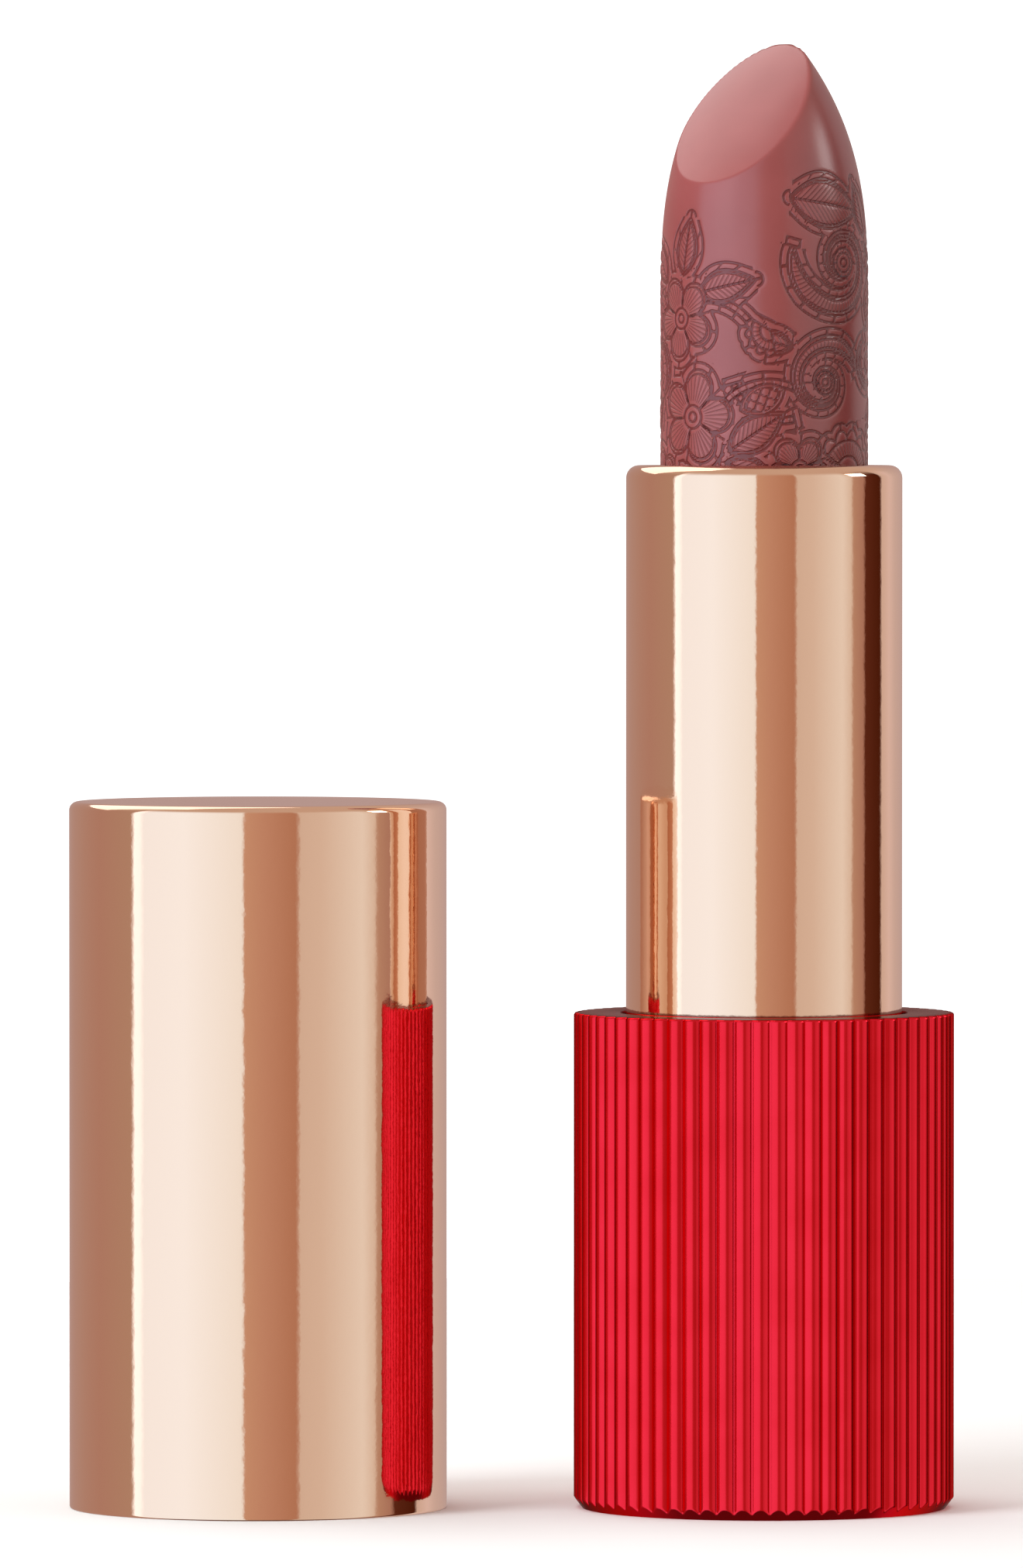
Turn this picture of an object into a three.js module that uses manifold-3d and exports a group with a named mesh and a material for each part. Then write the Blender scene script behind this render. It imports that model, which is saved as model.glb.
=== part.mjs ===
// A twist-up lipstick, open, with its cap standing beside it.
//
// Millimetres, +Z up. The origin is the centre of the case's underside, on the axis that the
// base, the tube and the lipstick stick share. The cap stands on the same surface, mouth down,
// on an axis of its own to the left.
//
// How it works: the fluted base holds a slotted guide tube. A spiral sleeve, fixed inside the
// polished tube, turns around that guide. Two lugs on the stick's cup pass through the guide's
// upright slots into the spiral's two grooves, so turning the tube raises or lowers the stick.

import * as THREE from "three";
import { mergeVertices } from "three/addons/utils/BufferGeometryUtils.js";
import Module from "manifold-3d";

// ---- Driving dimensions ----

const STICK_R = 6.05; // a 12.1 mm stick, the trade's common mould size
const BASE_R = 11.1; // over the crests of the flutes
const CAP_R = 11.0;
const TUBE_R = 8.05;

const BASE_TOP = 28.9; // the ledge that the cap seats on
const TUBE_TOP = 60.8;
const SHOULDER = 69.7; // where the stick's nose starts, at full rise
const NOSE = 17.8; // the nose's length, before the slanting cut takes its point
const CUT_Z = 83.35; // the height of the slanting cut on the axis
const CUT_SLOPE_X = 0.69; // its rise to the right
const CUT_SLOPE_Y = 0.865; // and to the back
const CAP_LENGTH = 41.2;
const CAP_X = -29.5; // where the cap stands

const FLUTES = 66;
const FLUTE_DEPTH = 0.25;
const FLUTE_LAND = 0.55; // the share of each pitch that is crest

const STROKE = 27.5; // full rise of the stick
const TURNS = 1.5; // of the tube, for that rise

const PLAY = 0.1; // running clearance, on the radius
const FIT = 0.05; // clearance between pieces that don't move on each other

// ---- The radial stack, from the stick outwards ----

const CUP_IN = STICK_R + FIT;
const CUP_OUT = CUP_IN + 0.4;
const GUIDE_IN = CUP_OUT + PLAY;
const GUIDE_OUT = GUIDE_IN + 0.45;
const SPIRAL_IN = GUIDE_OUT + PLAY;
const SPIRAL_OUT = SPIRAL_IN + 0.42;
const TUBE_IN = SPIRAL_OUT + FIT;

// ---- The stack of heights ----

const CUP_TOP = TUBE_TOP - 1.8; // at full rise
const CUP_BOTTOM = CUP_TOP - 11.2;
const CUP_FLOOR = 0.8;
const LUG_Z = CUP_BOTTOM + 2.5;
const LUG_R = 0.75;
const TUBE_BOTTOM = 18.3;
const SPIRAL_BOTTOM = 20.4;
const SPIRAL_TOP = TUBE_TOP - 1.2;
const GUIDE_FLOOR = 19.9;
const GUIDE_TOP = TUBE_TOP - 0.8;

const CORE_BOTTOM = 9.7;
const CORE_TOP = 25.8;
const WEIGHT_BOTTOM = 1.7;
const DISC_TOP = 1.5;
const LABEL_R = 8.4;
const LABEL_THICK = 0.2;

const SHELL_WALL = 0.8; // the base shell, crest to bore
const CAP_WALL = 0.5;
const LEDGE = 0.8;
const LINER_IN = TUBE_R + 0.4;
const LINER_OUT = LINER_IN + 0.65;
const LINER_TOP = 35;

const ROUND = 48; // facets round a turned piece

const wasm = await Module();
wasm.setup();

// ---- Solids ----

// A three.js geometry as a solid that can be cut and joined.
function solidOf(geometry) {
  const bare = geometry.clone();
  bare.deleteAttribute("normal");
  bare.deleteAttribute("uv");
  const merged = mergeVertices(bare, 1e-4);
  return new wasm.Manifold(
    new wasm.Mesh({
      numProp: 3,
      vertProperties: merged.attributes.position.array,
      triVerts: new Uint32Array(merged.index.array),
    }),
  );
}

function geometryOf(solid) {
  const mesh = solid.getMesh();
  return new THREE.BufferGeometry()
    .setAttribute(
      "position",
      new THREE.BufferAttribute(mesh.vertProperties, 3),
    )
    .setIndex(new THREE.BufferAttribute(mesh.triVerts, 1));
}

// [radius, z] pairs turned about Z. The outline runs up its outer side.
function turned(outline, facets = ROUND) {
  const points = outline.map(([r, z]) => new THREE.Vector2(r, z));
  return new THREE.LatheGeometry(points, facets).rotateX(Math.PI / 2);
}

// A ring of rectangular section.
function ring(inner, outer, bottom, top, facets = ROUND) {
  return turned(
    [
      [inner, bottom],
      [outer, bottom],
      [outer, top],
      [inner, top],
      [inner, bottom],
    ],
    facets,
  );
}

function disc(radius, bottom, top, facets = ROUND) {
  return turned(
    [
      [0, bottom],
      [radius, bottom],
      [radius, top],
      [0, top],
    ],
    facets,
  );
}

// A rounded outside corner from [r, z - radius] in to [r - radius, z].
function corner(r, z, radius, steps = 3) {
  return Array.from({ length: steps + 1 }, (_, i) => {
    const a = (i / steps) * (Math.PI / 2);
    return [
      r - radius + radius * Math.cos(a),
      z - radius + radius * Math.sin(a),
    ];
  });
}

// A box from the inner to the outer radius, turned to stand at an angle about Z.
function spoke(inner, outer, width, bottom, top, angle) {
  return new THREE.BoxGeometry(outer - inner, width, top - bottom)
    .translate((inner + outer) / 2, 0, (bottom + top) / 2)
    .rotateZ(angle);
}

class Helix extends THREE.Curve {
  constructor(radius, start, sweep, startZ, rise) {
    super();
    Object.assign(this, { radius, start, sweep, startZ, rise });
  }
  getPoint(t, target = new THREE.Vector3()) {
    const a = this.start + t * this.sweep;
    return target.set(
      this.radius * Math.cos(a),
      this.radius * Math.sin(a),
      this.startZ + t * this.rise,
    );
  }
}

// ---- The base: everything that stays still in the hand ----

// A fluted sleeve with a flat ledge round its mouth and a chamfered foot.
function baseShell() {
  const pitch = (2 * Math.PI) / FLUTES;
  const outline = new THREE.Shape();
  for (let i = 0; i < FLUTES; i++) {
    const centre = i * pitch;
    const half = (FLUTE_LAND * pitch) / 2;
    for (const [angle, r] of [
      [centre - half, BASE_R],
      [centre + half, BASE_R],
      [centre + pitch / 2, BASE_R - FLUTE_DEPTH],
    ]) {
      const [x, y] = [r * Math.cos(angle), r * Math.sin(angle)];
      if (i === 0 && angle < 0) outline.moveTo(x, y);
      else outline.lineTo(x, y);
    }
  }
  outline.closePath();
  const prism = new THREE.ExtrudeGeometry(outline, {
    depth: BASE_TOP,
    bevelEnabled: false,
  });
  const bore = BASE_R - SHELL_WALL;
  const mouth = TUBE_R + 0.3;
  const clear = BASE_R + 1;
  const envelope = turned(
    [
      [bore, 0],
      [BASE_R - 0.5, 0],
      [BASE_R + 0.02, 0.72],
      [clear, 0.72],
      [clear, BASE_TOP],
      [mouth, BASE_TOP],
      [mouth, BASE_TOP - LEDGE],
      [bore, BASE_TOP - LEDGE],
      [bore, 0],
    ],
    ROUND * 2,
  );
  return geometryOf(solidOf(prism).intersect(solidOf(envelope)));
}

// A moulded core: a wide bore for the turning tube, and a socket for the guide's stem.
function baseCore() {
  const outer = BASE_R - SHELL_WALL - 0.15;
  const bore = TUBE_R + 0.35;
  const bench = TUBE_BOTTOM - 0.6;
  const socket = 6.1;
  return turned([
    [0, CORE_BOTTOM],
    [outer, CORE_BOTTOM],
    [outer, CORE_TOP],
    [bore, CORE_TOP],
    [bore, bench],
    [socket, bench],
    [socket, CORE_BOTTOM + 0.9],
    [0, CORE_BOTTOM + 0.9],
  ]);
}

function baseDisc() {
  const outer = BASE_R - SHELL_WALL - PLAY;
  const recess = LABEL_R + 0.2;
  return turned([
    [0, LABEL_THICK + PLAY],
    [recess, LABEL_THICK + PLAY],
    [recess, 0],
    [outer, 0],
    [outer, DISC_TOP],
    [0, DISC_TOP],
  ]);
}

// The slotted guide: a stem, a flange with a groove for the brake ring, and a thin tube with
// two upright slots that keep the stick from turning. A bead at its top holds the spiral down.
function innerBody() {
  const stem = 6;
  const flange = SPIRAL_IN + 0.35;
  const flangeBottom = TUBE_BOTTOM - 0.4;
  const flangeTop = SPIRAL_BOTTOM - 0.2;
  const groove = 6.8;
  const beadTop = GUIDE_TOP + 0.05;
  const body = turned([
    [0, CORE_BOTTOM + 1.1],
    [stem, CORE_BOTTOM + 1.1],
    [stem, flangeBottom],
    [flange, flangeBottom],
    [flange, flangeBottom + 0.6],
    [groove, flangeBottom + 0.6],
    [groove, flangeTop - 0.6],
    [flange, flangeTop - 0.6],
    [flange, flangeTop],
    [GUIDE_OUT, flangeTop],
    [GUIDE_OUT, SPIRAL_TOP + 0.12],
    [flange, SPIRAL_TOP + 0.12],
    [flange, beadTop],
    [GUIDE_IN, beadTop],
    [GUIDE_IN, GUIDE_FLOOR],
    [0, GUIDE_FLOOR],
  ]);
  const slotWidth = 2 * LUG_R + 0.5;
  const slotBottom = LUG_Z - STROKE - LUG_R - 0.35;
  const slotTop = LUG_Z + LUG_R + 0.35;
  const reach = GUIDE_OUT + 1;
  const slots = new THREE.BoxGeometry(
    2 * reach,
    slotWidth,
    slotTop - slotBottom,
  ).translate(0, 0, (slotBottom + slotTop) / 2);
  return geometryOf(solidOf(body).subtract(solidOf(slots)));
}

// The rubber ring that drags on the tube's bore, so that the stick stays where it is set.
function brakeRing() {
  const middle = (TUBE_BOTTOM - 0.4 + SPIRAL_BOTTOM - 0.2) / 2;
  const thick = 0.34;
  const radius = TUBE_IN - 0.12 - thick;
  return new THREE.TorusGeometry(radius, thick, 8, ROUND).translate(
    0,
    0,
    middle,
  );
}

// ---- The sleeve: what turns on the base ----

// The polished tube, its top edge rolled over and turned in to a mouth round the stick.
function tubeShell() {
  const mouth = STICK_R + 0.25;
  const lip = 0.6;
  return turned([
    [TUBE_IN, TUBE_BOTTOM],
    [TUBE_R, TUBE_BOTTOM],
    ...corner(TUBE_R, TUBE_TOP, 0.6, 4),
    [mouth, TUBE_TOP],
    [mouth, TUBE_TOP - lip],
    [TUBE_IN, TUBE_TOP - lip],
    [TUBE_IN, TUBE_BOTTOM],
  ]);
}

// A sleeve with two right-handed helical grooves cut through it, half a turn apart.
function spiralSleeve() {
  let sleeve = solidOf(
    ring(SPIRAL_IN, SPIRAL_OUT, SPIRAL_BOTTOM, SPIRAL_TOP),
  );
  const sweep = TURNS * 2 * Math.PI;
  const past = 0.16; // radians that each groove runs on beyond the lug
  const share = (sweep + 2 * past) / sweep;
  const section = new THREE.Shape();
  section.absarc(0, 0, LUG_R + 0.37, 0, 2 * Math.PI);
  for (const side of [0, Math.PI]) {
    const path = new Helix(
      (SPIRAL_IN + SPIRAL_OUT) / 2,
      side - sweep - past,
      sweep * share,
      LUG_Z - STROKE - (past / sweep) * STROKE,
      STROKE * share,
    );
    const cutter = new THREE.ExtrudeGeometry(section, {
      steps: 28,
      curveSegments: 4,
      extrudePath: path,
    });
    sleeve = sleeve.subtract(solidOf(cutter));
  }
  return geometryOf(sleeve);
}

// ---- The carrier: what rises ----

// A thin cup with two lugs near its foot.
function bulletCup() {
  const cup = turned([
    [0, CUP_BOTTOM],
    [CUP_OUT, CUP_BOTTOM],
    [CUP_OUT, CUP_TOP],
    [CUP_IN, CUP_TOP],
    [CUP_IN, CUP_BOTTOM + CUP_FLOOR],
    [0, CUP_BOTTOM + CUP_FLOOR],
  ]);
  const inner = (CUP_IN + CUP_OUT) / 2;
  const outer = SPIRAL_OUT - 0.12;
  let solid = solidOf(cup);
  for (const side of [0, Math.PI]) {
    const lug = new THREE.CylinderGeometry(LUG_R, LUG_R, outer - inner, 12)
      .rotateZ(Math.PI / 2)
      .translate((inner + outer) / 2, 0, LUG_Z)
      .rotateZ(side);
    solid = solid.add(solidOf(lug));
  }
  return geometryOf(solid);
}

// The stick: a cylinder with a pointed nose, cut off by one slanting flat.
function bullet() {
  const rings = 9;
  const outline = [
    [0, CUP_BOTTOM + CUP_FLOOR + FIT],
    [STICK_R, CUP_BOTTOM + CUP_FLOOR + FIT],
  ];
  for (let i = 0; i <= rings; i++) {
    const t = i / rings;
    outline.push([STICK_R * (1 - t ** 3), SHOULDER + NOSE * t]);
  }
  const size = 40;
  const cutter = new THREE.BoxGeometry(size, size, size);
  cutter.translate(0, 0, size / 2);
  const facing = new THREE.Vector3(-CUT_SLOPE_X, -CUT_SLOPE_Y, 1).normalize();
  cutter.applyQuaternion(
    new THREE.Quaternion().setFromUnitVectors(new THREE.Vector3(0, 0, 1), facing),
  );
  cutter.translate(0, 0, CUT_Z);
  return geometryOf(solidOf(turned(outline)).subtract(solidOf(cutter)));
}

// ---- The cap: stands mouth down, z measured from its rim ----

function capShell() {
  const inner = CAP_R - CAP_WALL;
  const crown = CAP_LENGTH - 0.7;
  return turned([
    [0, crown],
    [inner, crown],
    [inner, 0],
    [CAP_R, 0],
    ...corner(CAP_R, CAP_LENGTH, 0.45),
    [0, CAP_LENGTH],
  ]);
}

// A moulded inner cap: a flange at the mouth, upright ribs that centre it in the shell, and
// small ribs inside that grip the tube.
function capLiner() {
  const flange = CAP_R - CAP_WALL - PLAY;
  const flangeTop = 0.5;
  const roof = 0.9;
  const magnetTop = 2.5;
  let liner = solidOf(
    turned([
      [0, LINER_TOP - roof],
      [LINER_IN, LINER_TOP - roof],
      [LINER_IN, 0.1],
      [flange, 0.1],
      [flange, flangeTop],
      [LINER_OUT, flangeTop],
      [LINER_OUT, LINER_TOP],
      [0, LINER_TOP],
    ]),
  );
  for (let i = 0; i < 8; i++) {
    const angle = (i * Math.PI) / 4;
    liner = liner.add(
      solidOf(
        spoke(LINER_OUT - 0.2, flange, 0.8, magnetTop, LINER_TOP - 0.3, angle),
      ),
    );
  }
  for (let i = 0; i < 6; i++) {
    const angle = (i * Math.PI) / 3 + 0.26;
    liner = liner.add(
      solidOf(spoke(LINER_IN - 0.2, LINER_IN + 0.2, 0.7, 1.5, 8, angle)),
    );
  }
  return geometryOf(liner);
}

// ---- Materials ----

const metal = (color, roughness) =>
  new THREE.MeshStandardMaterial({ color, roughness, metalness: 1 });
const moulded = (color, roughness) =>
  new THREE.MeshStandardMaterial({ color, roughness, metalness: 0 });

const redAnodised = metal(0xc4101f, 0.32);
const roseGold = metal(0xe0a486, 0.08);
const steel = metal(0x9a9ca0, 0.45);
const magnetNickel = metal(0xb8b6b0, 0.3);
const blackAbs = moulded(0x1d1c1e, 0.5);
const whiteAcetal = moulded(0xece8e0, 0.45);
const siliconeRubber = moulded(0x2a2a2c, 0.8);
const pearlLabel = moulded(0xe9e2dc, 0.6);
const rosewoodWax = moulded(0xa85f60, 0.42);

// ---- Assembly ----

function piece(name, geometry, material) {
  const mesh = new THREE.Mesh(geometry, material);
  mesh.name = name;
  return mesh;
}

const bore = BASE_R - SHELL_WALL;
const lipstick = new THREE.Group();
lipstick.add(
  piece("base_shell", baseShell(), redAnodised),
  piece("base_core", baseCore(), blackAbs),
  piece(
    "base_weight",
    disc(bore - 0.3, WEIGHT_BOTTOM, CORE_BOTTOM - 0.3),
    steel,
  ),
  piece("base_disc", baseDisc(), redAnodised),
  piece("shade_label", disc(LABEL_R, 0, LABEL_THICK), pearlLabel),
  piece(
    "base_magnet",
    ring(TUBE_R + 0.55, bore - 0.15, CORE_TOP + 0.3, BASE_TOP - LEDGE - 0.2),
    magnetNickel,
  ),
  piece("inner_body", innerBody(), whiteAcetal),
  piece("brake_ring", brakeRing(), siliconeRubber),
  piece("tube_shell", tubeShell(), roseGold),
  piece("spiral_sleeve", spiralSleeve(), whiteAcetal),
  piece("bullet_cup", bulletCup(), whiteAcetal),
  piece("bullet", bullet(), rosewoodWax),
);

const cap = new THREE.Group();
cap.position.x = CAP_X;
cap.add(
  piece("cap_shell", capShell(), roseGold),
  piece("cap_liner", capLiner(), blackAbs),
  piece(
    "cap_magnet",
    ring(LINER_OUT + PLAY, CAP_R - CAP_WALL - 0.15, 0.6, 2.4),
    magnetNickel,
  ),
  piece("cap_weight", disc(9.9, LINER_TOP + 0.3, CAP_LENGTH - 1), steel),
);
lipstick.add(cap);

export default lipstick;
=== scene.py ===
# A twist-up lipstick, fully open, with its cap standing beside it.
# The scene is in metres. Sizes in the dictionaries are millimetres and pass through mm.
import math
import bmesh
import bpy
import numpy as np
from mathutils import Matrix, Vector


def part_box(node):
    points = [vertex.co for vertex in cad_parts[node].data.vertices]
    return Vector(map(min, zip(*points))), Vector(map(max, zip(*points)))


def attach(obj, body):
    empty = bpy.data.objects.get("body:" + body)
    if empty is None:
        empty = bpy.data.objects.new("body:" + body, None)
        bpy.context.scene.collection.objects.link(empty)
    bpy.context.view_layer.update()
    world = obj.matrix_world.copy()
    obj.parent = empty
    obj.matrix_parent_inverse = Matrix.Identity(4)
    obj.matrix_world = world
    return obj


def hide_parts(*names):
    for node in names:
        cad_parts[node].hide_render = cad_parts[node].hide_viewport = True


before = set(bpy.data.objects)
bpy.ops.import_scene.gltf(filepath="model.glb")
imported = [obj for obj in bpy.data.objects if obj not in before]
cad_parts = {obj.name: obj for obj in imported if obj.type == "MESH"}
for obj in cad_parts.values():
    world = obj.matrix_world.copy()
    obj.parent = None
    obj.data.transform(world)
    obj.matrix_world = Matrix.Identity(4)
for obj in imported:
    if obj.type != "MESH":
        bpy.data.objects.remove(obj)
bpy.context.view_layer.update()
scene = bpy.context.scene
mm = 0.001
weldDistance = 1e-7  # metres, far less than the gap between any two real vertices


# Shared helpers

def linearColour(hexValue, strength=1.0):
    # an sRGB hex value as linear RGBA
    channels = [(hexValue >> shift & 255) / 255 for shift in (16, 8, 0)]
    linear = [c / 12.92 if c <= 0.04045 else ((c + 0.055) / 1.055) ** 2.4 for c in channels]
    return (*[c * strength for c in linear], 1.0)


def perMm(size):  # the scale of a noise whose features are this many millimetres
    return 1 / (size * mm)


def addNode(tree, kind, settings=None, links=None):
    # settings name sockets or properties of the new node; links feed its sockets
    node = tree.nodes.new("ShaderNode" + kind)
    for key, value in (settings or {}).items():
        if isinstance(key, int) or key in node.inputs:
            node.inputs[key].default_value = value
        else:
            setattr(node, key, value)
    for key, source in (links or {}).items():
        tree.links.new(source, node.inputs[key])
    return node


def setStops(ramp, stops, interpolation="LINEAR"):
    elements = ramp.color_ramp.elements
    ramp.color_ramp.interpolation = interpolation
    while len(elements) > 1:
        elements.remove(elements[-1])
    elements[0].position, elements[0].color = stops[0]
    for position, colour in stops[1:]:
        elements.new(position).color = colour


def newMaterial(name, settings):
    material = bpy.data.materials.new(name)
    material.use_nodes = True
    tree = material.node_tree
    tree.nodes.clear()
    shader = addNode(tree, "BsdfPrincipled", settings)
    addNode(tree, "OutputMaterial", links={"Surface": shader.outputs[0]})
    coords = addNode(tree, "TexCoord").outputs["Object"]
    return material, tree, shader, coords


def finishPiece(name, bm, body, replaced, material, sharpAngle=40):
    mesh = bpy.data.meshes.new(name)
    for face in bm.faces:
        face.smooth = True
    bm.to_mesh(mesh)
    bm.free()
    mesh.set_sharp_from_angle(angle=math.radians(sharpAngle))
    mesh.materials.append(material)
    piece = bpy.data.objects.new(name, mesh)
    scene.collection.objects.link(piece)
    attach(piece, body)
    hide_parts(*replaced)
    return piece


def arc(centreR, centreZ, radius, start, end, steps):
    # (radius, height) points round a corner, from one angle in degrees to the other
    angles = [math.radians(start + (end - start) * i / steps) for i in range(steps + 1)]
    return [(centreR + radius * math.cos(a), centreZ + radius * math.sin(a)) for a in angles]


def turnProfile(profile, centreX=0.0, steps=256, closed=True):
    # a profile of (radius, height) pairs in mm, spun about an upright axis
    bm = bmesh.new()
    verts = [bm.verts.new((centreX + r * mm, 0, z * mm)) for r, z in profile]
    edges = [bm.edges.new(pair) for pair in zip(verts, verts[1:])]
    if closed:
        edges.append(bm.edges.new((verts[-1], verts[0])))
    bmesh.ops.spin(bm, geom=verts + edges, cent=(centreX, 0, 0), axis=(0, 0, 1),
                   angle=2 * math.pi, steps=steps, use_merge=True)
    bmesh.ops.remove_doubles(bm, verts=bm.verts, dist=weldDistance)
    bmesh.ops.recalc_face_normals(bm, faces=bm.faces)
    return bm


# Materials

def roseGoldMaterial():
    # Aluminium, drawn, mirror polished and rose-gold anodised: crisp reflections whose edges
    # waver a little, because drawing leaves a fine ripple and a broader pull in the metal.
    # Handling leaves smudges, which dull it in places.
    look = {"colour": 0xF6D4BB, "roughness": 0.045, "ripple": 0.8, "rippleDepth": 0.005,
            "pull": 5.0, "pullDepth": 0.01, "smudge": 7.0, "clean": 0.8, "smudged": 1.5}
    material, tree, shader, coords = newMaterial("roseGoldAnodised", {
        "Base Color": linearColour(look["colour"]), "Metallic": 1.0, "Roughness": look["roughness"]})
    fine = addNode(tree, "TexNoise", {"Scale": perMm(look["ripple"]), "Detail": 3.0},
                   {"Vector": coords})
    broad = addNode(tree, "TexNoise", {"Scale": perMm(look["pull"]), "Detail": 1.0},
                    {"Vector": coords})
    broadBump = addNode(tree, "Bump", {"Distance": look["pullDepth"] * mm},
                        {"Height": broad.outputs[0]})
    bump = addNode(tree, "Bump", {"Distance": look["rippleDepth"] * mm},
                   {"Height": fine.outputs[0], "Normal": broadBump.outputs[0]})
    smudge = addNode(tree, "TexNoise", {"Scale": perMm(look["smudge"]), "Detail": 4.0},
                     {"Vector": coords})
    rough = addNode(tree, "MapRange", {"From Min": 0.35, "From Max": 0.75,
                                       "To Min": look["roughness"] * look["clean"],
                                       "To Max": look["roughness"] * look["smudged"]},
                    {"Value": smudge.outputs[0]})
    tree.links.new(rough.outputs[0], shader.inputs["Roughness"])
    tree.links.new(bump.outputs[0], shader.inputs["Normal"])
    return material


def redAnodisedMaterial():
    # Aluminium, bead blasted and anodised in a clear red: a satin metal with a fine grain.
    look = {"colour": 0xF02638, "shade": 0xEA2232, "edge": 0x680408, "cloud": 3.0, "roughness": 0.2,
            "grain": 0.08, "grainDepth": 0.0005, "grainLow": 0.85, "grainHigh": 1.2}
    material, tree, shader, coords = newMaterial("redAnodised", {
        "Base Color": linearColour(look["colour"]), "Metallic": 1.0, "Roughness": look["roughness"],
        "Specular Tint": linearColour(look["edge"]), "Coat Weight": 0.06, "Coat Roughness": 0.1})
    cloud = addNode(tree, "TexNoise", {"Scale": perMm(look["cloud"]), "Detail": 3.0},
                    {"Vector": coords})
    ramp = addNode(tree, "ValToRGB", links={"Fac": cloud.outputs[0]})
    setStops(ramp, [(0.3, linearColour(look["shade"])), (0.6, linearColour(look["colour"]))])
    grain = addNode(tree, "TexNoise", {"Scale": perMm(look["grain"]), "Detail": 2.0},
                    {"Vector": coords})
    bump = addNode(tree, "Bump", {"Distance": look["grainDepth"] * mm}, {"Height": grain.outputs[0]})
    rough = addNode(tree, "MapRange", {"To Min": look["roughness"] * look["grainLow"],
                                       "To Max": look["roughness"] * look["grainHigh"]},
                    {"Value": grain.outputs[0]})
    tree.links.new(ramp.outputs[0], shader.inputs["Base Color"])
    tree.links.new(rough.outputs[0], shader.inputs["Roughness"])
    tree.links.new(bump.outputs[0], shader.inputs["Normal"])
    return material


def waxMaterial():
    # Pigmented wax, cast in a metal mould: satin, faintly translucent, with fine hatching that the
    # mould's engraver left between the lace's lines. The colour darkens in the lines' grooves and, more
    # weakly, in the hatching: painted shade in those recesses.
    # the line colour is painted shade, laid into the lace's grooves and its hatching
    look = {"colour": 0x8A4243, "shade": 0x843D3E, "line": 0x5E1519, "cloud": 4.0,
            "roughness": 0.28, "translucence": 0.8, "lineCore": 0.042, "lineWidth": 0.105,
            "lineDepth": 0.045, "hatchDepth": 0.035, "hatchShadeShare": 0.55, "skin": 0.25,
            "skinDepth": 0.0012}
    material, tree, shader, coords = newMaterial("rosewoodWax", {
        "Base Color": linearColour(look["colour"]), "Roughness": look["roughness"],
        "Subsurface Weight": 0.12, "Subsurface Scale": look["translucence"] * mm,
        "Subsurface Radius": (1.0, 0.45, 0.35), "Specular IOR Level": 0.9})
    cloud = addNode(tree, "TexNoise", {"Scale": perMm(look["cloud"]), "Detail": 4.0},
                    {"Vector": coords})
    body = addNode(tree, "ValToRGB", links={"Fac": cloud.outputs[0]})
    setStops(body, [(0.35, linearColour(look["shade"])), (0.65, linearColour(look["colour"]))])
    edge = addNode(tree, "Attribute", {"attribute_name": "laceEdge"})
    phase = addNode(tree, "Attribute", {"attribute_name": "lacePhase"})
    fill = addNode(tree, "Attribute", {"attribute_name": "laceFill"})
    line = addNode(tree, "MapRange", {"interpolation_type": "SMOOTHSTEP", "From Min": look["lineCore"],
                                      "From Max": look["lineWidth"], "To Min": 1.0, "To Max": 0.0},
                   {"Value": edge.outputs["Fac"]})
    turn = addNode(tree, "Math", {"operation": "MULTIPLY", 1: 2 * math.pi},
                   {0: phase.outputs["Fac"]})
    wave = addNode(tree, "Math", {"operation": "COSINE"}, {0: turn.outputs[0]})
    tooth = addNode(tree, "MapRange", {"interpolation_type": "SMOOTHSTEP", "From Min": 0.1,
                                       "From Max": 0.95},
                    {"Value": wave.outputs[0]})
    hatch = addNode(tree, "Math", {"operation": "MULTIPLY"},
                    {0: tooth.outputs[0], 1: fill.outputs["Fac"]})
    paintedHatchShade = addNode(tree, "Math", {"operation": "MULTIPLY", 1: look["hatchShadeShare"]},
                        {0: hatch.outputs[0]})
    # painted shade: the colour darkens towards the line colour in the lace's grooves and, more weakly,
    # in the hatching
    paintedGrooveShade = addNode(tree, "Math", {"operation": "MAXIMUM"},
                  {0: line.outputs[0], 1: paintedHatchShade.outputs[0]})
    mix = addNode(tree, "Mix", {"data_type": "RGBA", 7: linearColour(look["line"])},
                  {"Factor": paintedGrooveShade.outputs[0]})
    tree.links.new(body.outputs[0], mix.inputs[6])
    dip = addNode(tree, "Bump", {"Distance": look["lineDepth"] * mm, "invert": True},
                  {"Height": line.outputs[0]})
    tooled = addNode(tree, "Bump", {"Distance": look["hatchDepth"] * mm, "invert": True},
                     {"Height": hatch.outputs[0], "Normal": dip.outputs[0]})
    grain = addNode(tree, "TexNoise", {"Scale": perMm(look["skin"]), "Detail": 3.0},
                    {"Vector": coords})
    skin = addNode(tree, "Bump", {"Distance": look["skinDepth"] * mm},
                   {"Height": grain.outputs[0], "Normal": tooled.outputs[0]})
    tree.links.new(mix.outputs[2], shader.inputs["Base Color"])
    tree.links.new(skin.outputs[0], shader.inputs["Normal"])
    return material


def mouldedMaterial(name, colour, shade, roughness, texture, depth, cloudSize=2.5):
    # Moulded plastic or rubber: the tool's spark-eroded texture shows as a fine even grain.
    material, tree, shader, coords = newMaterial(name, {
        "Base Color": linearColour(colour), "Roughness": roughness})
    cloud = addNode(tree, "TexNoise", {"Scale": perMm(cloudSize), "Detail": 3.0}, {"Vector": coords})
    ramp = addNode(tree, "ValToRGB", links={"Fac": cloud.outputs[0]})
    setStops(ramp, [(0.35, linearColour(shade)), (0.6, linearColour(colour))])
    grain = addNode(tree, "TexNoise", {"Scale": perMm(texture), "Detail": 2.0}, {"Vector": coords})
    bump = addNode(tree, "Bump", {"Distance": depth * mm}, {"Height": grain.outputs[0]})
    tree.links.new(ramp.outputs[0], shader.inputs["Base Color"])
    tree.links.new(bump.outputs[0], shader.inputs["Normal"])
    return material


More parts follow.
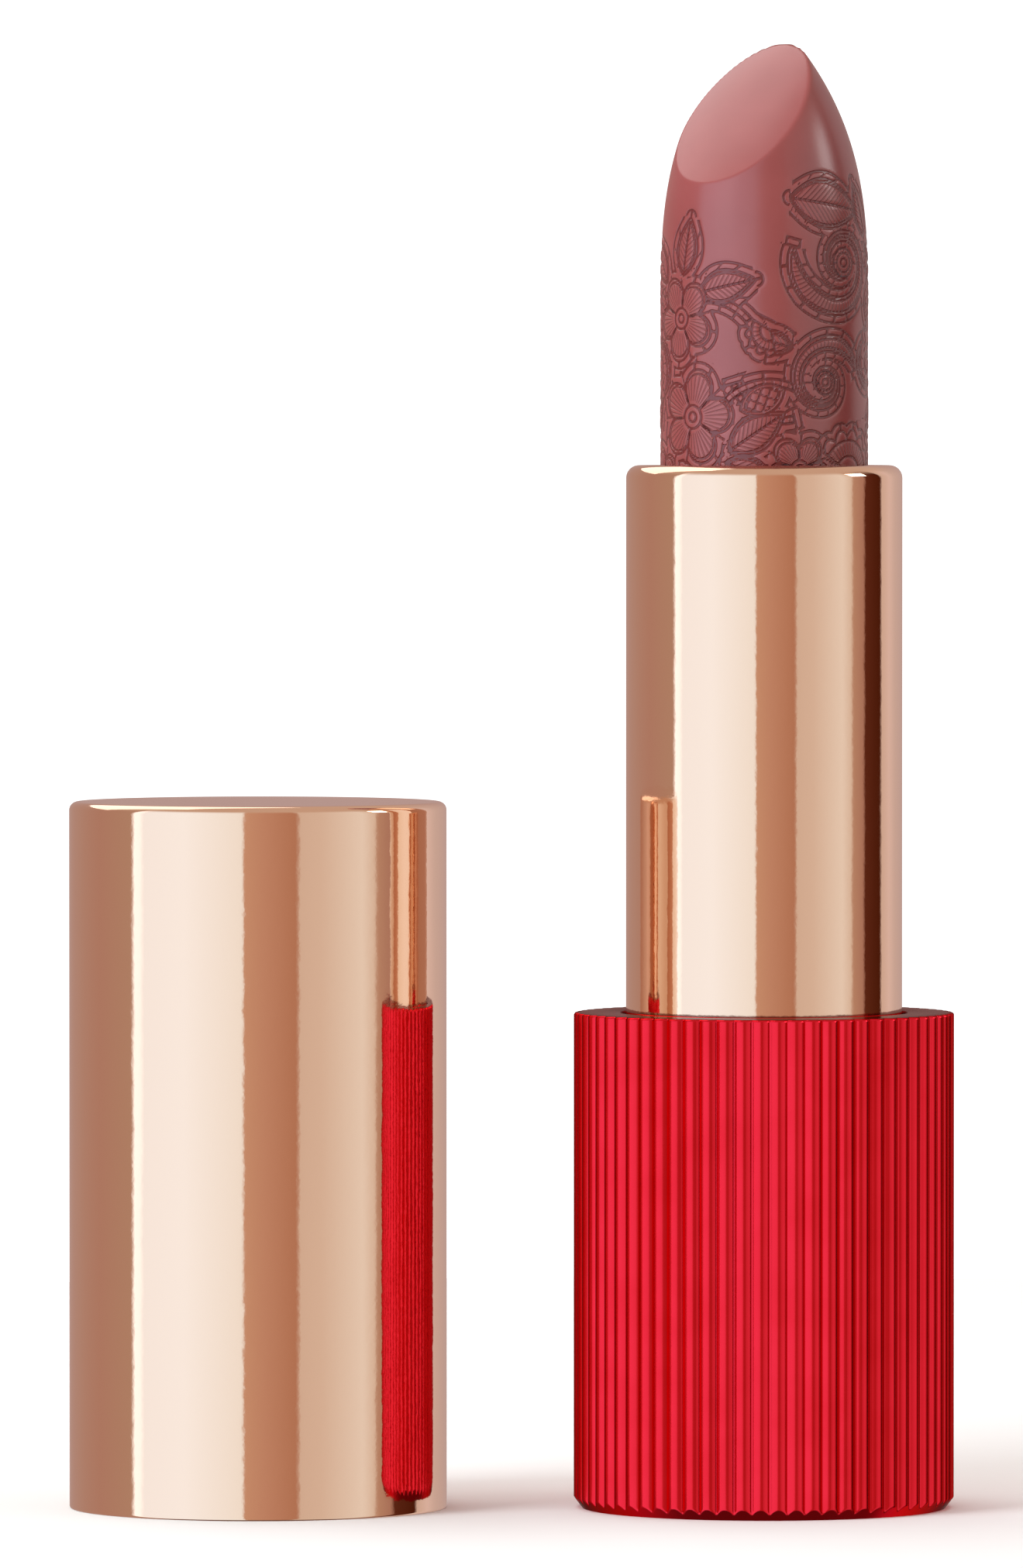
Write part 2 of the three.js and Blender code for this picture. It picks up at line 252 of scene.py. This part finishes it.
def turnedMetalMaterial(name, colour, roughness, lineSpacing, depth):
    # Steel or nickel off a lathe: rings left by the tool, drawn about a millimetre apart, which
    # is coarser than real ones, so that they show.
    wavesAtOne = 20 / (2 * math.pi)  # rings in a metre at the texture's scale of 1
    material, tree, shader, coords = newMaterial(name, {
        "Base Color": linearColour(colour), "Metallic": 1.0, "Roughness": roughness})
    rings = addNode(tree, "TexWave", {"wave_type": "RINGS", "rings_direction": "Z",
                                      "Scale": perMm(lineSpacing) / wavesAtOne,
                                      "Distortion": 1.5, "Detail": 2.0},
                    {"Vector": coords})
    bump = addNode(tree, "Bump", {"Distance": depth * mm}, {"Height": rings.outputs["Fac"]})
    rough = addNode(tree, "MapRange", {"To Min": roughness * 0.8, "To Max": roughness * 1.3},
                    {"Value": rings.outputs["Fac"]})
    tree.links.new(rough.outputs[0], shader.inputs["Roughness"])
    tree.links.new(bump.outputs[0], shader.inputs["Normal"])
    return material


roseGold = roseGoldMaterial()
redAnodised = redAnodisedMaterial()
rosewoodWax = waxMaterial()
blackAbs = mouldedMaterial("blackAbs", colour=0x222124, shade=0x1B1A1C, roughness=0.42,
                           texture=0.08, depth=0.004)
whiteAcetal = mouldedMaterial("whiteAcetal", colour=0xEDE9E1, shade=0xE3DED4, roughness=0.4,
                              texture=0.1, depth=0.003)
siliconeRubber = mouldedMaterial("siliconeRubber", colour=0x2C2C2E, shade=0x242426, roughness=0.7,
                                 texture=0.15, depth=0.005)
labelFilm = mouldedMaterial("labelFilm", colour=0xEAE3DC, shade=0xE2DAD2, roughness=0.5,
                            texture=0.2, depth=0.002)
turnedSteel = turnedMetalMaterial("turnedSteel", colour=0x9EA1A6, roughness=0.32,
                                  lineSpacing=0.754, depth=0.004)
nickelPlate = turnedMetalMaterial("nickelPlate", colour=0xB9B6AE, roughness=0.2,
                                  lineSpacing=1.2566, depth=0.002)
print("materials made")


# The base: a fluted sleeve with a chamfered foot and a flat ledge round its mouth

baseShape = {"crest": 11.09, "flutes": 66, "depth": 0.26, "fullness": 0.86, "grooveAt": -89.2,
             "perFlute": 16, "footR": 10.6, "flat": 0.1, "chamfer": 0.7, "runOut": 0.05,
             "chamferSteps": 12, "top": 28.9, "topRound": 0.16, "roundSteps": 5, "ledge": 0.8,
             "ledgeRing": 10.1, "mouth": 8.35, "mouthRound": 0.1, "bore": 10.3}


def fluteRadius(angle, z):
    # rounded reeds that meet in narrow grooves, the same at every height
    pitch = 2 * math.pi / baseShape["flutes"]
    phase = ((angle - math.radians(baseShape["grooveAt"])) / pitch + 0.5) % 1 - 0.5
    height = math.sin(math.pi / 2 * (2 * abs(phase)) ** baseShape["fullness"])
    return baseShape["crest"] - baseShape["depth"] * (1 - height)


def footRadius(angle, z):
    # the chamfer's cone cuts the reeds off, and runs out just below the chamfer's top
    slope = (baseShape["crest"] - baseShape["footR"]) / (baseShape["chamfer"] - baseShape["runOut"])
    return min(fluteRadius(angle, z), baseShape["footR"] + z * slope)


def rolledRadius(inset):
    return lambda angle, z: fluteRadius(angle, z) - inset


def roundRadius(radius):
    return lambda angle, z: radius


def baseLevels():
    # the wall from the foot up, over the ledge and down the bore, as heights with their radius rules
    s = baseShape
    levels = [(z, footRadius) for z in np.linspace(0, s["chamfer"], s["chamferSteps"])]
    levels += [(z, fluteRadius) for z in (2, s["top"] / 2, s["top"] - 1)]
    for step in range(s["roundSteps"] + 1):  # the crests roll over into the ledge
        turn = step / s["roundSteps"] * math.pi / 2
        height = s["top"] - s["topRound"] * (1 - math.sin(turn))
        levels.append((height, rolledRadius(s["topRound"] * (1 - math.cos(turn)))))
    levels.append((s["top"], roundRadius(s["ledgeRing"])))
    corner = arc(s["mouth"] + s["mouthRound"], s["top"] - s["mouthRound"], s["mouthRound"], 90, 180, 4)
    levels += [(z, roundRadius(r)) for r, z in corner]
    levels.append((s["top"] - s["ledge"], roundRadius(s["mouth"])))
    levels.append((s["top"] - s["ledge"], roundRadius(s["bore"])))
    levels.append((s["flat"], roundRadius(s["bore"])))
    return levels


def placeRing(verts, rule, z):
    for vert in verts:
        angle = math.atan2(vert.co.y, vert.co.x)
        r = rule(angle, z)
        vert.co = (r * mm * math.cos(angle), r * mm * math.sin(angle), z * mm)


def makeBaseShell():
    s = baseShape
    bm = bmesh.new()
    made = bmesh.ops.create_circle(bm, segments=s["flutes"] * s["perFlute"], radius=s["bore"] * mm)
    placeRing(made["verts"], roundRadius(s["footR"] - s["flat"]), 0)
    firstRing = edges = list(bm.edges)
    for z, rule in baseLevels():
        grown = bmesh.ops.extrude_edge_only(bm, edges=edges)["geom"]
        edges = [part for part in grown if isinstance(part, bmesh.types.BMEdge)]
        placeRing([part for part in grown if isinstance(part, bmesh.types.BMVert)], rule, z)
    bmesh.ops.bridge_loops(bm, edges=firstRing + edges)
    bmesh.ops.remove_doubles(bm, verts=bm.verts, dist=weldDistance)
    bmesh.ops.recalc_face_normals(bm, faces=bm.faces)
    finishPiece("baseShell", bm, "base", ["base_shell"], redAnodised, sharpAngle=50)


makeBaseShell()
print("base made")


# The tube: polished, its top edge rolled in to a mouth round the stick

tubeShape = {"radius": 8.05, "wall": 0.43, "bottom": 18.3, "bevel": 0.08, "hem": 0.3, "top": 60.8,
             "round": 0.75, "mouth": 6.32, "lip": 0.6, "lipRound": 0.3}


def makeTubeShell():
    t = tubeShape
    inner = t["radius"] - t["wall"]
    lipEnd = t["top"] - t["lip"]
    profile = [(inner, t["bottom"]), (t["radius"] - t["bevel"], t["bottom"])]
    profile += [(t["radius"], t["bottom"] + t["bevel"]), (t["radius"], t["bottom"] + t["hem"])]
    profile += [(t["radius"], t["top"] - t["round"] - t["bevel"])]
    profile += arc(t["radius"] - t["round"], t["top"] - t["round"], t["round"], 0, 90, 10)
    profile += arc(t["mouth"] + t["lipRound"], t["top"] - t["lipRound"], t["lipRound"], 90, 180, 6)
    profile += [(t["mouth"], lipEnd), (inner, lipEnd)]
    finishPiece("tubeShell", turnProfile(profile), "sleeve", ["tube_shell"], roseGold)


makeTubeShell()
print("tube made")


# The cap: a drawn shell with a flat crown, standing mouth down

capShape = {"radius": 11.0, "wall": 0.5, "height": 41.2, "crown": 0.7, "round": 0.5,
            "roundEnd": 0.08, "rim": 0.12, "rimEnd": 0.05}
capX = sum(corner.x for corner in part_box("cap_shell")) / 2


def makeCapShell():
    c = capShape
    inner = c["radius"] - c["wall"]
    ceiling = c["height"] - c["crown"]
    shoulder = c["height"] - c["round"]
    profile = [(0, ceiling), (inner, ceiling), (inner, c["rim"])]
    profile += arc(inner + c["rim"], c["rim"], c["rim"], 180, 270, 3)
    profile += arc(c["radius"] - c["rim"], c["rim"], c["rim"], 270, 360, 3)
    profile += [(c["radius"], c["rim"] + c["rimEnd"]), (c["radius"], shoulder - c["roundEnd"])]
    profile += arc(c["radius"] - c["round"], shoulder, c["round"], 0, 90, 10)
    profile += [(c["radius"] - c["round"] - c["roundEnd"], c["height"]), (0, c["height"])]
    bm = turnProfile(profile, capX, closed=False)
    finishPiece("capShell", bm, "cap", ["cap_shell"], roseGold)


makeCapShell()
print("cap made")


# The stick: cast wax, slant cut, with a lace of flowers, leaves and curls round it

# The cut is a crowned surface: its height over the axis, its slopes and how much it domes.
# The lace runs between two heights, on rings and columns close enough to carry its lines.
stickShape = {"radius": 6.05, "bottom": 48.65, "footRound": 0.2, "plainFrom": 55.5, "shoulder": 69.7,
              "nose": 17.8, "tipGap": 0.05, "cutFrom": 60, "cutZ": 83.89, "cutX": 0.565,
              "cutY": 0.694, "crown": 2.0, "edge": 0.05, "laceFrom": 58.5, "laceTo": 79.6,
              "grid": 0.1, "noseGrid": 0.25}
laceShape = {"repeats": 2, "depth": 0.032, "groove": 0.15, "pillow": 0.02, "pillowRise": 0.4,
             "margin": 0.8, "fade": 0.3, "tooth": 0.25, "border": 0.42, "tick": 1.15}
farOff = 9.0  # mm, stands for no line within reach


def noseRadius(z):
    t = max(0.0, (z - stickShape["shoulder"]) / stickShape["nose"])
    return stickShape["radius"] * (1 - t ** 3)


# Each motif is drawn at the origin along the first axis, for points q as complex numbers in mm.
# It returns the signed distance to its outline, the distance to its inner lines, the phase of
# its hatching in lines, and where the hatching lies.

def flower(q, size, petals=5, hatches=9):
    eye, seed = 0.24 * size, 0.1 * size
    rho, psi = np.abs(q), (np.angle(q) * petals / (2 * np.pi)) % 1 - 0.5
    rim = rho - size * (0.52 + 0.48 * np.abs(np.cos(np.pi * psi)) ** 0.6)
    seam = rho * np.sin(2 * np.pi / petals * (0.5 - np.abs(psi)))
    inner = np.where(rho > eye, np.minimum(seam, np.abs(rim + 0.26)), farOff)
    inner = np.minimum(inner, np.abs(rho - eye))
    inner = np.minimum(inner, np.abs(rho - seed))
    return rim, inner, psi * hatches, (rho > 0.33 * size) & (rim < -0.33)


def leaf(q, size, spacing=0.33):
    x, y = q.real / size, np.abs(q.imag)
    half = 0.27 * size * np.sin(np.pi * np.clip(x, 0, 1)) ** 0.8 * (1.2 - 0.45 * x)
    beyond = np.maximum(np.maximum(-x, x - 1), 0) * size
    rim = np.where(beyond > 0, np.hypot(beyond, y), y - half)
    rib = np.where((x > 0) & (x < 0.94), y, farOff)
    rib = np.where(rim < -0.08, np.minimum(rib, np.abs(rim + 0.2)), rib)
    return rim, rib, (x * size - 0.9 * y) / spacing, rim < -0.26


def curl(q, size, turns=1.55, tighten=0.17, half=0.21, tip=0.9):
    rho, rim, phase = np.abs(q), np.full(q.shape, farOff), np.zeros(q.shape)
    for winding in range(3):
        theta = np.angle(q) + 2 * np.pi * winding
        centre = size * np.exp(-tighten * theta)
        taper = np.sqrt(np.clip(theta / tip, 0, 1))  # the outer end comes to a rounded tip
        side = np.abs(rho - centre) - half * centre * taper
        side = np.maximum(side, -theta * centre)
        side = np.maximum(side, (theta - turns * 2 * np.pi) * centre)
        along = size / tighten * (1 - np.exp(-tighten * theta)) / laceShape["tooth"]
        phase = np.where(side < rim, along, phase)
        rim = np.minimum(rim, side)
    return rim, np.abs(rim + 0.22), phase, rim < -0.27


def rosette(q, size):
    rho = np.abs(q)
    inner = np.minimum(np.abs(rho - 0.66 * size), np.abs(rho - 0.3 * size))
    teeth = np.round(2 * np.pi * 0.8 * size / laceShape["tooth"])
    phase = np.angle(q) / (2 * np.pi) * teeth
    return rho - size, inner, phase, (rho > 0.7 * size) & (rho < 0.95 * size)


def palmette(q, size, lobes=5, spread=1.15):
    rho, phi = np.abs(q), np.angle(q)
    scallop = np.abs(np.cos(np.pi * lobes * phi / (2 * spread)))
    rim = np.maximum(rho - size * (0.84 + 0.16 * scallop), (np.abs(phi) - spread) * rho)
    inner = np.minimum(np.abs(rho - 0.42 * size), np.abs(rho - 0.76 * size))
    phase = phi * 0.6 * size / laceShape["tooth"]
    return rim, inner, phase, (rho > 0.46 * size) & (rho < 0.73 * size) & (rim < -0.15)


def stem(q, size, sweep=1.5, half=0.2, spacing=0.5):
    rho, phi = np.abs(q), np.angle(q)
    rim = np.maximum(np.abs(rho - size) - half, (np.abs(phi) - sweep / 2) * size)
    return rim, np.full(q.shape, farOff), phi * size / spacing, rim < -0.02


def netting(q, size, mesh=0.7, border=0.24):
    # a lens filled with crossed threads, without hatching
    x, y = q.real, q.imag
    rim = np.hypot(x, np.abs(y) + 0.6 * size) - 1.25 * size
    crossed = np.minimum(np.abs((x + y) % mesh - mesh / 2), np.abs((x - y) % mesh - mesh / 2))
    inner = np.where(rim < -border, crossed, np.abs(rim + border))
    return rim, inner, np.zeros(q.shape), np.zeros(q.shape, bool)


# One spray of the lace: each motif with its place round the stick, height and size in mm and
# its turn in degrees. Those further down the list lie on top.
spray = [
    (stem, -3.6, 67.0, 3.4, 55), (stem, 1.0, 66.4, 3.0, -120), (stem, 6.0, 69.6, 4.4, 20),
    (stem, -6.8, 66.4, 3.0, 165), (stem, 0.2, 62.0, 3.6, 95), (stem, 7.0, 63.4, 3.0, -80),
    (leaf, 1.5, 76.3, 5.4, -8), (leaf, 7.9, 74.0, 3.4, 108), (leaf, -5.5, 71.8, 3.4, 82),
    (leaf, -4.2, 70.8, 3.7, 12), (leaf, -7.3, 71.4, 3.2, 132), (leaf, -2.2, 61.6, 4.0, 34),
    (leaf, -2.4, 61.0, 3.4, -24), (leaf, 8.3, 62.8, 3.2, 35), (leaf, -8.9, 62.6, 3.0, 100),
    (leaf, 1.6, 67.6, 2.6, 165), (netting, 8.6, 70.6, 1.5, 70), (netting, -0.2, 64.6, 1.3, 25),
    (curl, 5.0, 72.6, 3.5, 165), (rosette, 5.15, 72.55, 0.85, 0), (curl, 3.6, 65.6, 2.8, 15),
    (rosette, 3.7, 65.6, 0.7, 0), (curl, -8.9, 66.6, 2.0, -60), (curl, 8.3, 66.6, 1.8, 120),
    (palmette, 5.6, 60.2, 2.7, 80), (palmette, 0.3, 68.6, 1.5, 215), (palmette, -8.6, 69.6, 1.6, 60),
    (flower, -5.7, 69.3, 2.5, 10), (flower, -4.7, 63.6, 2.8, 40), (flower, -8.0, 60.0, 1.9, 0),
    (flower, 2.0, 60.6, 2.0, 20), (flower, 8.9, 72.6, 1.3, 0)]


def laceFields(around, height):
    # for points in mm on the wax: distance to the nearest line, hatch phase and share, and
    # how deep inside a motif the point lies
    edge, outer = np.full(around.shape, farOff), np.full(around.shape, farOff)
    phase, fill, inside = np.zeros(around.shape), np.zeros(around.shape), np.zeros(around.shape)
    ticks = np.zeros(around.shape)
    girth = 2 * math.pi * stickShape["radius"]
    places = [(motif, u + turnNo * girth / laceShape["repeats"], z, size, turn)
              for turnNo in range(laceShape["repeats"]) for motif, u, z, size, turn in spray]
    for motif, u, z, size, turn in places:
        shift = (around - u + girth / 2) % girth - girth / 2
        near = np.hypot(shift, height - z) < 1.6 * size + 1
        q = (shift[near] + 1j * (height[near] - z)) * np.exp(-1j * math.radians(turn))
        rim, inner, hatch, hatched = motif(q, size)
        step = 0.01  # mm, to measure how steep the field is, so that lines keep an even width
        slope = np.hypot(motif(q + step, size)[0] - rim, motif(q + 1j * step, size)[0] - rim) / step
        rim = rim / np.clip(slope, 0.3, 6)
        within = rim < 0
        edge[near] = np.minimum(np.where(within, inner, edge[near]), np.abs(rim))
        phase[near] = np.where(within, hatch, phase[near])
        fill[near] = np.where(within, hatched, fill[near])
        inside[near] = np.where(within, -rim, inside[near])
        ticks[near] = np.where(rim < outer[near], np.angle(q) * size / laceShape["tick"], ticks[near])
        outer[near] = np.minimum(outer[near], rim)
    # a second outline runs round the whole spray, tied to it with short bars
    border = laceShape["border"]
    bars = np.abs(ticks - np.round(ticks)) * laceShape["tick"]
    edge = np.where(outer > 0, np.minimum(edge, np.abs(outer - border)), edge)
    edge = np.where((outer > 0) & (outer < border), np.minimum(edge, bars), edge)
    return edge, phase, fill, inside


def makeBullet():
    s = stickShape
    foot = arc(s["radius"] - s["footRound"], s["bottom"] + s["footRound"], s["footRound"], -90, 0, 3)
    profile = [(0, s["bottom"])] + foot
    profile += [(s["radius"], z) for z in np.arange(s["plainFrom"], s["laceFrom"], 1.0)]
    top = s["shoulder"] + s["nose"]
    rows = list(np.arange(s["laceFrom"], s["laceTo"], s["grid"]))
    rows += list(np.arange(s["laceTo"], top - s["tipGap"], s["noseGrid"]))
    profile += [(noseRadius(z), z) for z in rows] + [(0, top)]
    bm = turnProfile(profile, steps=round(2 * math.pi * s["radius"] / s["grid"]), closed=False)
    bullet = finishPiece("bullet", bm, "carrier", ["bullet"], rosewoodWax, 180)

    mesh = bullet.data
    place = np.zeros(len(mesh.vertices) * 3)
    mesh.vertices.foreach_get("co", place)
    x, y, z = (place.reshape(-1, 3) / mm).T.copy()
    edge, phase, fill, inside = laceFields(np.arctan2(x, -y) * s["radius"], z)
    # the lace stops short of the cut and of the stretch inside the tube
    cut = s["cutZ"] + s["cutX"] * x + s["cutY"] * y - s["crown"] * (x * x + y * y) / s["radius"] ** 2
    room = np.clip((cut - z - laceShape["margin"]) / laceShape["fade"], 0, 1)
    room = room * np.clip((z - s["laceFrom"]) / laceShape["fade"], 0, 1)
    edge = edge + (1 - room) * farOff
    fill = fill * room
    # lines sink in and the motifs between them swell a little
    groove = laceShape["depth"] * np.clip(1 - (edge / laceShape["groove"]) ** 2, 0, 1)
    groove -= laceShape["pillow"] * room * np.clip(inside / laceShape["pillowRise"], 0, 1)
    r = np.hypot(x, y)
    inward = np.where(r > 0, (r - groove) / np.maximum(r, 1e-6), 1)
    # the cut: every point above its surface drops onto it, with a softened edge
    soft = s["edge"]
    dropped = np.minimum(z, cut) - soft * np.log1p(np.exp(-np.abs(z - cut) / soft))
    z = np.where(z > s["cutFrom"], dropped, z)
    place = np.stack([x * inward, y * inward, z], axis=1) * mm
    mesh.vertices.foreach_set("co", place.ravel())
    for name, values in (("laceEdge", edge), ("lacePhase", phase), ("laceFill", fill)):
        attribute = mesh.attributes.new(name, "FLOAT", "POINT")
        attribute.data.foreach_set("value", values.astype(np.float32))
    mesh.update()


makeBullet()
print("stick made")


# The pieces that stay inside, and those seen only from below, keep their CAD shape

carried = {"base_core": blackAbs, "base_weight": turnedSteel, "base_disc": redAnodised,
           "shade_label": labelFilm, "base_magnet": nickelPlate, "inner_body": whiteAcetal,
           "brake_ring": siliconeRubber, "spiral_sleeve": whiteAcetal, "bullet_cup": whiteAcetal,
           "cap_liner": blackAbs, "cap_magnet": nickelPlate, "cap_weight": turnedSteel}
for nodeName, finish in carried.items():
    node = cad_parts[nodeName]
    node.data.materials.clear()
    node.data.materials.append(finish)
print("inner pieces finished")


# Floor, studio and camera

floorShape = {"radius": 220, "segments": 96, "colour": 0xECF3F6, "roughness": 0.9}


def makeFloor():
    # Pale matt paper: it takes the soft shadows and fades into the white behind it.
    material = newMaterial("paleFloor", {
        "Base Color": linearColour(floorShape["colour"]), "Roughness": floorShape["roughness"],
        "Specular IOR Level": 0.1})[0]
    bm = bmesh.new()
    bmesh.ops.create_circle(bm, cap_ends=True, segments=floorShape["segments"],
                            radius=floorShape["radius"] * mm)
    mesh = bpy.data.meshes.new("floor")
    bm.to_mesh(mesh)
    bm.free()
    mesh.materials.append(material)
    floor = bpy.data.objects.new("floor", mesh)
    floor.visible_glossy = False  # so the panels' reflections run down to the metal's foot
    floor.visible_diffuse = False  # and the wax keeps its darker side
    scene.collection.objects.link(floor)


# The studio. Tall panels stand round the object, with a pale ceiling over them and brown ground
# beneath. Each stop is a bearing from the front in degrees, right being positive, with the
# panels' colour and strength there. The ceiling and the ground are layers: each has the sines of
# the climbs where it begins and where it is complete, then its colour and strength.
studio = {
    "panels": [
        (-180, 0xFFD6CC, 0.47), (-140, 0xFFD6C9, 0.46), (-112, 0xFFCDBD, 0.45), (-82, 0xFFD7C1, 0.46),
        (-81, 0xE6F2FF, 1.7), (-75, 0xE6F2FF, 1.6), (-74, 0xDFEFFF, 1.38), (-45, 0xDEEFFF, 1.42),
        (-8.5, 0xEBF7FF, 1.14), (-7.5, 0xFFD1B5, 0.6), (5, 0xFFC9AF, 0.55), (25, 0xFFBE9E, 0.47),
        (26, 0xFFEFE4, 0.69), (40, 0xFFF1E7, 0.72), (68, 0xFFFFFD, 0.84), (77, 0xFFF3E9, 0.73),
        (79, 0xFFD2B9, 0.5), (91, 0xFFC6B3, 0.42), (92, 0xFF8863, 0.11), (113, 0xFF7A46, 0.07),
        (115, 0xFFEAE2, 0.66), (128, 0xFFECEC, 0.74), (140, 0xFFEBE8, 0.62), (180, 0xFFD6CC, 0.47)],
    "layers": [((0.35, 0.75), (0xFFE2D0, 0.6)), ((-0.72, -0.9), (0x604840, 1.0))],
    "backdrop": 1.25, "aimHeight": 40, "boxesAway": 1000}
# Soft boxes light the wax and the floor, with powers in watts: a key at the front left and one
# overhead, which polished metal doesn't mirror, one behind on the left that gives the slanting
# cut its sheen, and a small one on the right that edges the nose.
softBoxes = {"keyBox": {"bearing": -50, "climb": 18, "size": 450, "power": 8.6, "mirrored": False},
             "topBox": {"bearing": 0, "climb": 89, "size": 900, "power": 3.4, "mirrored": False},
             "backBox": {"bearing": -137, "climb": 50, "size": 900, "power": 3.1, "mirrored": True},
             "sideBox": {"bearing": 87, "climb": 24, "size": 300, "power": 1.0, "mirrored": True}}


def makeStudio():
    world = bpy.data.worlds.new("studio")
    scene.world = world
    world.use_nodes = True
    tree = world.node_tree
    tree.nodes.clear()
    direction = addNode(tree, "TexCoord").outputs["Generated"]
    parts = addNode(tree, "SeparateXYZ", links={0: direction})
    height = parts.outputs[2]
    front = addNode(tree, "Math", {"operation": "MULTIPLY", 1: -1.0}, {0: parts.outputs[1]})
    bearing = addNode(tree, "Math", {"operation": "ARCTAN2"}, {0: parts.outputs[0], 1: front.outputs[0]})
    turn = addNode(tree, "MapRange", {"From Min": -math.pi, "From Max": math.pi},
                   {"Value": bearing.outputs[0]})
    panels = addNode(tree, "ValToRGB", links={"Fac": turn.outputs[0]})
    setStops(panels, [((b + 180) / 360, linearColour(c, e)) for b, c, e in studio["panels"]])
    light = panels.outputs[0]
    for (start, end), colour in studio["layers"]:  # each takes over as the direction climbs or sinks
        share = addNode(tree, "MapRange", {"interpolation_type": "SMOOTHSTEP", "From Min": start,
                                           "From Max": end},
                        {"Value": height})
        light = addNode(tree, "Mix", {"data_type": "RGBA", 7: linearColour(*colour)},
                        {"Factor": share.outputs[0], 6: light}).outputs[2]
    # the camera sees plain white behind the object, and everything else sees the panels
    glow = addNode(tree, "Background", links={"Color": light})
    backdrop = addNode(tree, "Background", {"Color": (1, 1, 1, 1), "Strength": studio["backdrop"]})
    seen = addNode(tree, "LightPath").outputs["Is Camera Ray"]
    both = addNode(tree, "MixShader", links={0: seen, 1: glow.outputs[0], 2: backdrop.outputs[0]})
    addNode(tree, "OutputWorld", links={"Surface": both.outputs[0]})


def makeSoftBox(name, spec):
    data = bpy.data.lights.new(name, "AREA")
    data.size = spec["size"] * mm
    data.energy = spec["power"]
    box = bpy.data.objects.new(name, data)
    bearing, climb = math.radians(spec["bearing"]), math.radians(spec["climb"])
    towards = Vector((math.sin(bearing) * math.cos(climb), -math.cos(bearing) * math.cos(climb),
                      math.sin(climb)))
    box.location = Vector((0, 0, studio["aimHeight"] * mm)) + towards * studio["boxesAway"] * mm
    box.rotation_euler = towards.to_track_quat("Z", "Y").to_euler()
    box.visible_camera = False
    box.visible_glossy = spec["mirrored"]
    scene.collection.objects.link(box)


def makeCamera():
    # a long lens from far off, a little above the tube's top and tipped slightly down
    place = {"x": -14.72, "away": 850.6, "height": 65.2, "down": 1.548, "lens": 335.1,
             "clipNear": 50, "clipFar": 20000}
    data = bpy.data.cameras.new("camera")
    data.lens = place["lens"]
    data.clip_start = place["clipNear"] * mm
    data.clip_end = place["clipFar"] * mm
    camera = bpy.data.objects.new("camera", data)
    scene.collection.objects.link(camera)
    camera.location = (place["x"] * mm, -place["away"] * mm, place["height"] * mm)
    camera.rotation_euler = (math.radians(90 - place["down"]), 0, 0)
    scene.camera = camera


makeFloor()
makeStudio()
for boxName, boxSpec in softBoxes.items():
    makeSoftBox(boxName, boxSpec)
makeCamera()
scene.view_settings.view_transform = "Standard"
print("studio ready")
